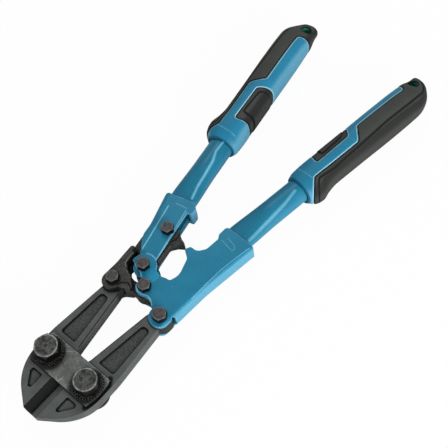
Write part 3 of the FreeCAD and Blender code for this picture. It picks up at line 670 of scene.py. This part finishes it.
def blue_enamel(name, lines=(), uv_map=None, lit_walls=0.4, depth=1.0):
    """Baked blue enamel: slightly cloudy, with painted highlights on edges, lit walls and raised lines,
    painted shade in inner corners, and small chips.
    """
    enamel = Finish(name, {"Coat Roughness": 0.2, "Specular IOR Level": 0.12})
    edge = enamel.edges(0.45)
    cloud = enamel.noise(11.0)
    fine = enamel.noise(0.9, detail=2.0)
    enamel.tone = enamel.mixed((cloud * 0.7 + fine * 0.3).above(0.3, 0.7),
                               paint(22 * depth, 118 * depth, 150 * depth),
                               paint(32 * depth, 127 * depth, 160 * depth))
    # Upright walls painted lighter as painted light, and edges painted pale as painted highlight.
    enamel.tint(enamel.walls() * lit_walls, lit_wall_blue)
    enamel.tint(edge * 0.75, highlight_blue)
    height = enamel.noise(1.4, detail=1.0) * 0.7 + fine * 0.3
    # Each line is painted pale as a highlight and raised by a slight bump.
    for points, half, share in lines:
        raised = enamel.line(points, half, half * 0.6, uv_map)
        enamel.tint(raised * (0.35 + fine * 0.7) * share, highlight_blue)
        height = height + raised * 6.0
    chip = enamel.noise(0.8, detail=4.0).above(0.69, 0.71) * enamel.noise(9.0).above(0.56, 0.62)
    enamel.tint(chip * 0.8, paint(150, 190, 205))
    # Inner corners painted dark as painted shade.
    enamel.tint(enamel.corners(1.2) * 0.8, paint(4, 52, 78))
    enamel.rough = 0.36 + fine * 0.08 + chip * 0.2
    enamel.feed("Coat Weight", 0.12 - chip * 0.12)
    enamel.height = height - chip * 1.5
    enamel.depth = 0.03
    return enamel.finished()


# Pale lines painted as highlights along the ears' edges, round a pressed loop on the horn and along the
# right fold.
right_enamel = blue_enamel("blue enamel, right head", (
    ([(-14.2, 66.4), (-11.7, 65.2), (-8.0, 64.5), (-5.6, 62.9)], 0.45, 0.9),
    ([(-5.8, 57.7), (-2.4, 55.7), (0.9, 55.9), (3.7, 57.0), (6.5, 56.5), (9.6, 54.4)], 0.45, 0.9),
    ([(13.3, 108.8), (22.2, 107.1), (22.8, 108.7), (21.4, 110.5), (15.4, 111.9)], 0.3, 0.45),
    ([(29.0, 114.6), (27.0, 104.5), (25.3, 93.8), (24.6, 82.4), (24.2, 71.0)], 0.3, 0.5),
))
dressed_copy("right_channel", "right_handle", 0.35, right_enamel)


# ---- Left handle head ----
# The matching channel turns between the raised ears, with one fold round the back of the lever's arm.
# A small tab at its end wraps the flattened tube; the paint is the same baked enamel.

# Pale lines painted as highlights along the folds and edges of the left head.
left_enamel = blue_enamel("blue enamel, left head", (
    ([(-26.2, 106.9), (-22.2, 91.1), (-18.7, 76.9)], 0.4, 1.0),
    ([(-15.9, 110.8), (-12.8, 97.2), (-7.7, 77.4)], 0.3, 0.8),
    ([(-27.5, 115.1), (-22.6, 116.1)], 0.35, 0.9),
    ([(-23.7, 110.9), (-16.6, 112.2)], 0.4, 0.45),
    ([(-14.7, 76.1), (-12.7, 76.9), (-10.6, 77.1), (-8.2, 76.6)], 0.4, 0.9),
))
dressed_copy("left_channel", "left_handle", 0.35, left_enamel)


# ---- Lever ----
# A drop-forged rocker: its fork straddles the left blade's tail, its arm runs up inside the left channel.
# Its skin is coarse and dark; its walls, grain specks and one ridge line are painted lighter as painted
# highlights, and its sunk lines, corners and the walls under the fork are painted dark as painted shade.

rocker = forged_steel("forged lever steel", paint(78, 78, 76), paint(120, 120, 117), 0.14)
pitted = rocker.noise(0.8, detail=4.0).above(0.42, 0.6)
rocker.tint(pitted * 0.5, paint(30, 30, 29))
rocker.height = rocker.height - pitted
# Light specks on the grain, painted as glints.
grain_glint_specks = rocker.noise(0.55, detail=4.0).above(0.56, 0.68)
rocker.tint(grain_glint_specks * 0.45, paint(120, 120, 117))
# Walls painted lighter as painted light.
rocker.tint(rocker.walls() * 0.2, paint(130, 130, 127))
# Walls below the fork painted black as painted shade.
under_fork_shade = 1.0 - rocker.plan()[1].above(50.5, 52.5)
rocker.tint(under_fork_shade * rocker.tilt().above(0.2, 0.5) * 0.9, paint(4, 4, 4))
# Near-black lines painted as shade and sunk a little, along the cheek, the horn and under the fork, and one
# pale raised line painted as the cheek rim's highlight.
lever_shade_and_highlight_lines = (
    ([(-20.9, 73.4), (-19.3, 70.6), (-18.6, 65.0), (-16.6, 62.6), (-13.4, 61.3)], 0.9, 4.0, 3),
    ([(-8.0, 86.7), (-7.3, 88.9), (-3.9, 91.5), (-1.7, 93.7)], 0.4, 2.0, 4),
    ([(-13.5, 51.2), (-12.7, 53.2), (-10.8, 54.9), (-9.0, 55.5), (-7.3, 54.9)], 0.4, 2.0, 6),
    ([(-20.2, 71.1), (-19.9, 66.7), (-19.3, 64.0), (-17.7, 62.4), (-14.0, 60.5)], 0.3, -2.0, 140),
)
for points, half, depth, shade in lever_shade_and_highlight_lines:
    shade_and_highlight_mark = rocker.line(points, half)
    rocker.tint(shade_and_highlight_mark * 0.9, paint(shade, shade, shade))
    rocker.height = rocker.height - shade_and_highlight_mark * depth
# Painted shade where the lever meets the blade, the channel and its bolts.
rocker.tint(rocker.corners(1.6, False) * 0.8, paint(4, 4, 4))
rocker.rough = rocker.rough + 0.03
lever_steel = rocker.finished()
dressed_copy("lever", "lever", 0.55, lever_steel)
recoated(frame["nodes"]["lever_bush"].data, jaw_bolt_steel)


# ---- Pivot bolts and nuts ----
# Small hexagon bolts of oiled black steel through the ears, the fork and the arm.
# Each has a thin nut behind.

pivot_steel = turned_steel("black pivot steel", paint(66, 64, 64), paint(122, 119, 118), 0.05)
pivot_flats = 7.0
pivot_shank_radius = 2.5
head_height = 4.0
nut_height = 3.2
pivot_bolts = (
    ("fork_bolt", "lever", pivot_flats, 10.0),
    ("tail_bolt", "right_handle", 7.8, 5.0),
    ("lever_pivot_bolt", "right_handle", pivot_flats, 0.0),
    ("handle_pivot_bolt", "right_handle", pivot_flats, 20.0),
    ("link_bolt", "left_handle", pivot_flats, 12.0),
)
for name, body, flats, turn in pivot_bolts:
    centre, low, high = spot(name)
    bolt = bmesh.new()
    turned_hexagon(bolt, centre, flats, high - head_height, high, turn)
    turned_shank(bolt, centre, pivot_shank_radius, low, high - head_height + shank_in_head)
    hardware(name + "_turned", body, bolt, [centre], flats, pivot_steel, name)

nut_groups = (
    ("fork_nut", "lever", ["fork_bolt"]),
    ("link_nut", "left_handle", ["link_bolt"]),
    ("pivot_nuts", "right_handle", ["tail_bolt", "lever_pivot_bolt", "handle_pivot_bolt"]),
)
for name, body, bolts in nut_groups:
    nuts = bmesh.new()
    centres = []
    for bolt in bolts:
        centre, low, high = spot(bolt)
        centres.append(centre)
        turned_hexagon(nuts, centre, pivot_flats, low + nut_height, low + 0.05, 0.0)
    hardware(name + "_turned", body, nuts, centres, pivot_flats, pivot_steel, name)
recoated(frame["nodes"]["handle_pivot_spacer"].data, pivot_steel)


# ---- Tubes ----
# Drawn steel tube pressed flat where the channels clamp it, swelling to round on its way into the grip.
# It is sprayed with the same blue enamel as the heads.

right_lean = math.radians(8.25)
left_lean = math.radians(-9.6)
link_centre = spot("link_bolt")[0]
tail_centre = spot("tail_bolt")[0]
right_tube_show = 46.9
left_tube_show = 43.0
right_start = (tail_centre[0] + 6.9, tail_centre[1] + 64.2 + right_tube_show)
left_start = (link_centre[0] - 16.3, tail_centre[1] + 64.0 + left_tube_show)


def handle_place(side, along, outward, height):
    """Places in metres from millimetres along a handle, outwards across it and up; works on arrays."""
    lean, start, hand = (right_lean, right_start, 1.0) if side == "right" else (left_lean, left_start, -1.0)
    x = start[0] + along * math.sin(lean) + hand * outward * math.cos(lean)
    y = start[1] + along * math.cos(lean) - hand * outward * math.sin(lean)
    return np.stack(np.broadcast_arrays(x * mm + middle.x, y * mm + middle.y, height * mm + middle.z), -1)


def oval_point(theta, half_in, half_out, depth, power):
    """Outward and upward distance of a squarish oval at an angle."""
    c, s = np.cos(theta), np.sin(theta)
    out = (half_out - half_in) / 2 + (half_out + half_in) / 2 * np.sign(c) * np.abs(c) ** (2 / power)
    return out, depth * np.sign(s) * np.abs(s) ** (2 / power)


def grid_faces(rows, columns, closed_rows=False):
    """Quads of a grid that is closed round its columns."""
    row = np.arange(rows if closed_rows else rows - 1)[:, None]
    column = np.arange(columns)[None, :]
    row_after, column_after = (row + 1) % rows, (column + 1) % columns
    corners = ((row, column), (row, column_after), (row_after, column_after), (row_after, column))
    return np.stack([r * columns + c for r, c in corners], -1).reshape(-1, 4)


def step_up(value, low, high):
    """0 below low, 1 over high, smooth between them."""
    share = np.clip((value - low) / (high - low), 0.0, 1.0)
    return share * share * (3 - 2 * share)


# Each tube carries a pale stripe painted as a reflection along its upper flank, with a slight bump.
tube_enamels = {
    "right": blue_enamel("blue enamel, right tube", (
        ([(2.0, -3.9), (4.0, -14.0), (5.2, -26.0), (6.3, -43.8)], 0.8, 0.5),
    ), "plan", 0.1, 0.95),
    "left": blue_enamel("blue enamel, left tube", (
        ([(-2.1, 1.6), (-1.8, -7.4), (-3.6, -14.1), (-4.2, -24.1), (-4.2, -33.0), (-5.2, -40.9)], 0.7, 0.7),
    ), "plan", 0.1, 0.93),
}


def handle_mesh(side, name, points, faces, material):
    """A smooth mesh of points outward, along and up from a handle; a map holds the first two."""
    if side == "right":
        faces = [face[::-1] for face in faces]
    mesh = bpy.data.meshes.new(name)
    mesh.from_pydata(handle_place(side, points[:, 1], points[:, 0], points[:, 2]).tolist(), [], faces)
    mesh.polygons.foreach_set("use_smooth", [True] * len(mesh.polygons))
    mesh.materials.append(material)
    corners = np.zeros(len(mesh.loops), int)
    mesh.loops.foreach_get("vertex_index", corners)
    plan = mesh.uv_layers.new(name="plan")
    plan.data.foreach_set("uv", points[corners, :2].astype(np.float32).ravel())
    return mesh


tube_radius = 7.5
tube_wall = 1.5
tube_flat = 3.9
tube_tail_half = 6.0
tube_mouth_half = 8.3
tube_swell_half = 9.2
tube_squareness = 2.8
tube_in_channel = 11.0
tube_neck = 26.0


def tube_rows(end, wall):
    """Rows of the tube: position, half width, depth and squareness, from the flat end to the grip."""
    rows = []
    for share in np.linspace(0.0, 1.0, 9):
        half = tube_tail_half + share * (tube_mouth_half - tube_tail_half)
        rows.append((end - tube_in_channel * (1 - share), half, tube_flat, tube_squareness))
    for share in np.linspace(0.0, 1.0, 41)[1:]:
        blend = step_up(share, 0.0, 1.0)
        half = tube_swell_half - (tube_swell_half - tube_mouth_half) * (1 - share)
        rows.append((end + share * tube_neck, half + (tube_radius - tube_swell_half) * blend,
                     tube_flat + (tube_radius - tube_flat) * blend,
                     tube_squareness + share * (2.0 - tube_squareness)))
    for along in (-2.0, 4.0, 60.0):
        rows.append((along, tube_radius, tube_radius, 2.0))
    return [(along, half - wall, depth - wall, power) for along, half, depth, power in rows]


def tube_piece(side, end):
    """Outer and inner wall of one tube, closed at both rims."""
    columns = 96
    theta = np.arange(columns) / columns * 2 * math.pi
    rows = tube_rows(end, 0.0) + tube_rows(end, tube_wall)[::-1]
    rings = []
    for along, half, depth, power in rows:
        out, height = oval_point(theta, half, half, depth, power)
        rings.append(np.stack(np.broadcast_arrays(out, along, height), -1))
    faces = grid_faces(len(rows), columns, closed_rows=True).tolist()
    mesh = handle_mesh(side, side + " tube", np.concatenate(rings), faces, tube_enamels[side])
    mesh.set_sharp_from_angle(angle=math.radians(50.0))
    piece = added(side + "_drawn_tube", mesh)
    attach(piece, side + "_handle")
    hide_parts(side + "_tube")


tube_piece("right", -right_tube_show / math.cos(right_lean))
tube_piece("left", -left_tube_show / math.cos(left_lean))


# ---- Grips ----
# Each grip is a hard blue shell pushed over the tube, with soft black rubber moulded on: a sleeve along
# the outer side and round the end, and a raised finger pad inside. A hole near the end takes a hook.

grip_length = 108.1
grip_columns = 168
grip_table = np.array([
    (0.0, 8.9, 9.4, 9.2, 2.0),
    (4.0, 10.0, 12.6, 11.3, 2.2),
    (9.0, 10.0, 13.45, 12.3, 2.4),
    (15.0, 9.9, 11.6, 12.4, 2.5),
    (24.0, 9.9, 10.2, 12.3, 2.5),
    (45.0, 10.0, 10.3, 12.4, 2.5),
    (70.0, 10.3, 10.65, 12.3, 2.5),
    (88.0, 10.4, 10.655, 11.2, 2.5),
    (97.0, 10.3, 9.8, 9.2, 2.5),
    (102.5, 9.6, 7.0, 6.4, 2.4),
    (grip_length, 9.5, 1.2, 4.9, 2.3),
])
hole_radius = 3.0
hole_place = (-4.2, 101.2)
skin_wall = 1.1
skin_inset = 0.02
seam_shoulder = 0.7
seam_drop = 0.32
shell_drop = 0.18
finger_drop = 0.35
crest_drop = 0.5
deepest_drop = 0.95
hidden_mark = 50.0


def eased(along, column):
    """A value of the grip's table at a position, on a smooth curve through its lines."""
    places, values = grip_table[:, 0], grip_table[:, column]
    slopes = np.gradient(values, places)
    turns = np.diff(values)[:-1] * np.diff(values)[1:] <= 0
    slopes[1:-1] = np.where(turns, 0.0, slopes[1:-1])
    along = np.clip(along, 0.0, grip_length)
    before = np.clip(np.searchsorted(places, along, side="right") - 1, 0, len(places) - 2)
    width = places[before + 1] - places[before]
    share = (along - places[before]) / width
    rest = 1.0 - share
    return (values[before] * (1 + 2 * share) * rest ** 2 + values[before + 1] * share ** 2 * (3 - 2 * share)
            + width * share * rest * (slopes[before] * rest - slopes[before + 1] * share))


def rounded(corners):
    """Points along a closed outline whose corners are rounded by their radius."""
    arc_step = 0.35
    points = []
    for before, corner, after in zip(corners[-1:] + corners[:-1], corners, corners[1:] + corners[:1]):
        here = Vector(corner[:2])
        if len(corner) == 2:
            points.append(here)
            continue
        radius = corner[2]
        back, on = (Vector(before[:2]) - here).normalized(), (Vector(after[:2]) - here).normalized()
        half = back.angle(on) / 2
        centre = here + (back + on).normalized() * (radius / math.sin(half))
        start = here + back * radius / math.tan(half) - centre
        sweep = start.angle_signed(here + on * radius / math.tan(half) - centre)
        steps = max(3, int(abs(sweep) * radius / arc_step))
        for step in range(steps + 1):
            points.append(centre + Matrix.Rotation(-sweep * step / steps, 2) @ start)
    return np.array([tuple(point) for point in points])


def inside_distance(outward, along, outline):
    """Distance to an outline on the plan, negative inside it."""
    best = np.full(outward.shape, 1e9)
    inside = np.zeros(outward.shape, bool)
    for (x, y), (next_x, next_y) in zip(outline, np.roll(outline, -1, 0)):
        run, rise = next_x - x, next_y - y
        length = run * run + rise * rise
        if length < 1e-12:
            continue
        right, ahead = outward - x, along - y
        share = np.clip((right * run + ahead * rise) / length, 0.0, 1.0)
        best = np.minimum(best, np.hypot(right - share * run, ahead - share * rise))
        if rise != 0.0:
            spans = (y > along) != (next_y > along)
            inside ^= spans & (right < ahead * run / rise)
    return np.where(inside, -best, best)


sleeve_outline = rounded([(5.1, 8.6, 1.5), (5.1, 44.5, 3.0), (-3.5, 51.5, 3.0), (-3.5, 92.0, 3.0),
                          (-20.0, 97.0), (-20.0, 120.0), (30.0, 120.0), (30.0, -17.5)])
pad_outline = rounded([(-20.0, 22.5), (-1.0, 16.0, 1.5), (-1.6, 42.6, 3.0), (-20.0, 54.5)])
finger_outline = rounded([(-20.0, 27.4), (-3.3, 22.3, 1.2), (-4.3, 41.4, 2.4), (-20.0, 50.5)])
crest_line = [(12.7, 5.2), (11.8, 6.0), (8.2, 9.3), (7.5, 10.6), (7.7, 22.0), (7.3, 33.0), (7.0, 50.0),
              (6.3, 66.0), (6.3, 82.0), (6.0, 91.6), (5.2, 98.7), (3.6, 102.3), (1.0, 105.2), (-2.7, 107.3)]
finger_line = [(-10.5, 24.6), (-8.1, 23.9), (-4.9, 22.9), (-3.5, 23.6), (-4.1, 35.0), (-4.4, 39.0),
               (-5.5, 41.7), (-8.0, 43.3), (-9.9, 45.0)]


def grip_rows():
    """Position and inset of every row, from the front lip over the body and round the end."""
    rows = [(0.0, 0.9), (0.05, 0.35), (0.35, 0.0)]
    rounding = 1.5
    rows += [(along, 0.0) for along in np.arange(0.8, grip_length - rounding - 0.1, 0.5)]
    rows += [(grip_length - rounding * (1 - math.sin(angle)), rounding * (1 - math.cos(angle)))
             for angle in np.radians(np.arange(10.0, 91.0, 10.0))]
    return np.array(rows)


def grip_surface(position, theta, inset):
    """Outward and upward distance on the grip at a position along it and an angle round it."""
    wide_in = np.maximum(eased(position, 1) - inset, 0.2)
    wide_out = eased(position, 2) - inset
    depth = np.maximum(eased(position, 3) - inset, 0.2)
    return oval_point(theta, wide_in, wide_out, depth, eased(position, 4))


def seam_distances(position, theta, inset):
    """Distances to the outlines of sleeve, pad and hook hole, negative inside them."""
    out, height = grip_surface(position, theta, inset)
    hole = np.hypot(out - hole_place[0], position - hole_place[1]) - hole_radius
    return np.stack([inside_distance(out, position, sleeve_outline),
                     inside_distance(out, position, pad_outline), hole])


def face_kinds(fields, faces):
    """Where each face belongs: 0 to the shell, 1 to the sleeve, 2 to the pad, 3 to the open hole."""
    sleeve, pad, hole = (field.ravel()[faces].mean(1) for field in fields)
    return np.where(hole < 0, 3, np.where(pad < 0, 2, np.where(sleeve < 0, 1, 0)))


def slid_to_seams(position, theta, inset, shared):
    """Moves the vertices that two pieces share along the surface on to the nearest outline."""
    radius = 11.0
    small = 0.05
    farthest = 0.6
    for repeat in range(3):
        fields = seam_distances(position, theta, inset)
        moved_on = seam_distances(position + small, theta, inset)
        turned_on = seam_distances(position, theta + small / radius, inset)
        nearest = np.argmin(np.abs(fields), 0)[None]
        here, on, beside = (np.take_along_axis(field, nearest, 0)[0]
                            for field in (fields, moved_on, turned_on))
        slope_on = (on - here) / small
        slope_round = (beside - here) / small
        steep = np.maximum(slope_on ** 2 + slope_round ** 2, 0.05)
        way = np.clip(here / steep, -farthest, farthest)
        position = np.where(shared, position - way * slope_on, position)
        theta = np.where(shared, theta - way * slope_round / radius, theta)
    return position, theta


def outward_normals(points):
    """Unit normals of a closed grid of points about its own axis."""
    round_way = np.roll(points, -1, 1) - np.roll(points, 1, 1)
    normal = np.cross(np.gradient(points, axis=0), round_way)
    normal /= np.maximum(np.linalg.norm(normal, axis=2, keepdims=True), 1e-9)
    return normal * np.sign((normal * points * (1, 0, 1)).sum(2, keepdims=True))


def moulded_drop(fields, seam, points):
    """Depth of every vertex under the plain surface: at seams, on the shell and in moulded lines."""
    out, position, height = np.moveaxis(points, -1, 0)
    in_pad = fields[1] < 0
    in_sleeve = (fields[0] < 0) & ~in_pad
    finger = inside_distance(out, position, finger_outline)
    crest = np.abs(inside_distance(out, position, np.array(crest_line + crest_line[::-1])))
    finger_field = finger_drop * step_up(finger, -0.35, 0.35)
    finger_groove = finger_drop * (1 - step_up(np.abs(finger - 0.45), 0.1, 0.5))
    crest_groove = crest_drop * (1 - step_up(crest, 0.15, 0.7))
    drop = skin_inset + seam_drop * (1 - step_up(seam, 0.0, seam_shoulder))
    drop = drop + np.where(in_pad, finger_field + finger_groove, 0.0)
    drop = drop + np.where(in_pad | in_sleeve, 0.0, shell_drop)
    drop = drop + np.where(in_sleeve & (height > -2.0), crest_groove, 0.0)
    return np.minimum(drop, deepest_drop)


def grip_pieces(side):
    """The shell, sleeve and pad of one grip, cut from one surface along the seams."""
    rows = grip_rows()
    turn = np.arange(grip_columns) / grip_columns * 2 * math.pi
    position, theta = np.meshgrid(rows[:, 0], turn, indexing="ij")
    inset = np.repeat(rows[:, 1:], grip_columns, 1)
    faces = grid_faces(len(rows), grip_columns)
    kind = face_kinds(seam_distances(position, theta, inset), faces)
    kinds_met = np.zeros((position.size, 4), bool)
    kinds_met[faces.ravel(), np.repeat(kind, 4)] = True
    shared = (kinds_met.sum(1) > 1).reshape(position.shape)
    position, theta = slid_to_seams(position, theta, inset, shared)

    out, height = grip_surface(position, theta, inset)
    points = np.stack([out, position, height], -1)
    fields = seam_distances(position, theta, inset)
    seam = np.min(np.abs(fields), 0)
    points = points - outward_normals(points) * moulded_drop(fields, seam, points)[..., None]
    for index, (name, node, slot, material) in enumerate((
            ("hard_shell", "grip_core", "grip_shell", shell_plastic),
            ("soft_sleeve", "grip_sleeve", "grip_rubber", sleeve_rubber),
            ("finger_pad", "grip_pad", "grip_rubber", sleeve_rubber))):
        mesh = moulded_mesh(side, name, points.reshape(-1, 3), faces[kind == index], seam.ravel(), material)
        piece = added(side + "_" + name, mesh)
        wall = piece.modifiers.new("wall", "SOLIDIFY")
        wall.thickness = skin_wall * mm
        wall.offset = -1.0
        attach(piece, side + "_handle")
        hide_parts(side + "_" + node)


def moulded_mesh(side, name, points, quads, seam, material):
    """One piece's share of the surface, with its distance to the seam at every vertex."""
    used, corners = np.unique(quads, return_inverse=True)
    points, seam = points[used], seam[used]
    faces = corners.reshape(-1, 4).tolist()
    if name == "soft_sleeve":
        tip = len(points)
        rim = range(tip - grip_columns, tip)
        faces += [(first, second, tip) for first, second in zip(rim, [*rim[1:], rim[0]])]
        points = np.vstack([points, points[-grip_columns:].mean(0)])
        seam = np.append(seam, 5.0)
    mesh = handle_mesh(side, side + "_" + name, points, faces, material)
    mesh.attributes.new("seam", "FLOAT", "POINT").data.foreach_set("value", seam.astype(np.float32))
    if name == "hard_shell":
        add_inner_body(mesh, side)
    return mesh


def add_inner_body(mesh, side):
    """Adds the shell's hidden body under the rubber, its round front lip and the hook hole's wall."""
    mouth_radius = 7.6
    mouth = 0.6
    body_inset = 1.25
    solid = bmesh.new()
    solid.from_mesh(mesh)
    first_new = len(solid.verts)
    theta = np.arange(80) / 80 * 2 * math.pi
    rings = [handle_place(side, along, mouth_radius * np.cos(theta), mouth_radius * np.sin(theta))
             for along in (6.0, mouth)]
    for along in (mouth, *np.arange(2.0, 94.0, 2.0), 94.5):
        out, height = grip_surface(along, theta, body_inset)
        rings.append(handle_place(side, along, out, height))
    body = skinned(solid, rings)
    bmesh.ops.recalc_face_normals(solid, faces=body)

    turn = np.arange(48) / 48 * 2 * math.pi
    out, along = hole_place[0] + hole_radius * np.cos(turn), hole_place[1] + hole_radius * np.sin(turn)
    wide_in, wide_out, depth, power = (eased(along, column) for column in (1, 2, 3, 4))
    share = np.abs((out - (wide_out - wide_in) / 2) / ((wide_out + wide_in) / 2))
    reach = depth * (1 - share ** power) ** (1 / power) - 1.0
    wall = skinned(solid, [handle_place(side, along, out, height) for height in (-reach, reach)], "open")
    inside = Vector(handle_place(side, hole_place[1], hole_place[0], 0.0))
    for face in wall:
        face.normal_update()
        if face.normal.dot(inside - face.calc_center_median()) < 0:
            face.normal_flip()
    for face in body + wall:
        face.smooth = True
    near_seam = solid.verts.layers.float["seam"]
    solid.verts.ensure_lookup_table()
    for vert in solid.verts[first_new:]:
        vert[near_seam] = hidden_mark
    solid.to_mesh(mesh)
    solid.free()


def satin_shell():
    """Satin blue shell: painted highlights on its edges, walls, collar line and along the rubber, painted
    shadow at the mouth, green hook hole with painted shade inside.
    """
    shell = Finish("satin blue shell", {"Specular IOR Level": 0.15})
    edge = shell.edges(0.5)
    cloud = shell.noise(14.0)
    grain = shell.noise(0.35, detail=2.0)
    seam = shell.value("seam")
    shell.tone = shell.mixed((cloud * 0.7 + grain * 0.3).above(0.3, 0.7),
                             paint(32, 118, 152), paint(42, 130, 164))
    # Walls painted lighter as painted light, and edges pale as painted highlight.
    shell.tint(shell.walls() * 0.4, paint(130, 196, 220))
    shell.tint(edge * 0.4, highlight_blue)
    # A dark band at the front lip is painted as the tube's shadow.
    lip = 1.0 - shell.plan("plan")[1].above(0.7, 1.3)
    shell.tint(lip * 0.9, paint(10, 88, 120))
    shell.tint(seam.above(hidden_mark * 0.8, hidden_mark * 0.9), paint(24, 150, 130))
    # Painted shade in the hook hole and other hollows.
    shell.tint(shell.corners(4.0), paint(4, 40, 44))
    # A pale line across the collar, painted as a highlight with a slight bump.
    crease_highlight = shell.line([(-7.0, 6.5), (-1.7, 6.6), (2.0, 7.0), (5.0, 7.3)], 0.35, 0.3, "plan")
    shell.tint(crease_highlight * shell.noise(1.0).above(0.35, 0.65) * 0.4, highlight_blue)
    # A pale line along the rubber, painted as a highlight on the shell's edge.
    shell.tint((1.0 - seam.above(0.35, 0.85)) * 0.75, paint(165, 215, 232))
    shell.rough = 0.4 + grain * 0.12
    shell.height = grain + crease_highlight * 5.0
    shell.depth = 0.02
    return shell.finished()


def soft_rubber():
    """Soft black rubber: fine grain, sides painted dark as painted shade with the upright flanks a little
    lighter as painted highlight, lighter edges, and painted shade in the moulded lines and along the seams.
    """
    rubber = Finish("soft black rubber", {"Specular IOR Level": 0.12})
    cloud = rubber.noise(10.0)
    grain = rubber.cells(0.5)
    edge = rubber.edges(0.6)
    rubber.tone = rubber.mixed((cloud * 0.6 + grain * 0.4).above(0.25, 0.75),
                               paint(58, 61, 58), paint(68, 71, 67))
    # Sides painted dark as painted shade, upright flanks a little lighter as painted highlight.
    rubber.tint(rubber.tilt().above(0.08, 0.35) * 0.8, paint(26, 27, 26))
    rubber.tint(rubber.tilt().above(0.6, 1.0) * 0.12, paint(130, 132, 129))
    rubber.tint(edge * 0.4, paint(110, 112, 109))
    # The moulded lines painted near black as painted shade.
    groove_shade = rubber.line(crest_line, 0.5, 0.4, "plan") + rubber.line(finger_line, 0.6, 0.25, "plan")
    rubber.tint(groove_shade * 0.9, paint(6, 6, 6))
    # The seams painted near black as painted shade.
    rubber.tint((1.0 - rubber.value("seam").above(0.5, 1.1)) * 0.9, paint(6, 8, 9))
    rubber.rough = 0.58 + grain * 0.12
    rubber.height = grain
    rubber.depth = 0.03
    return rubber.finished()


shell_plastic = satin_shell()
sleeve_rubber = soft_rubber()
grip_pieces("right")
grip_pieces("left")
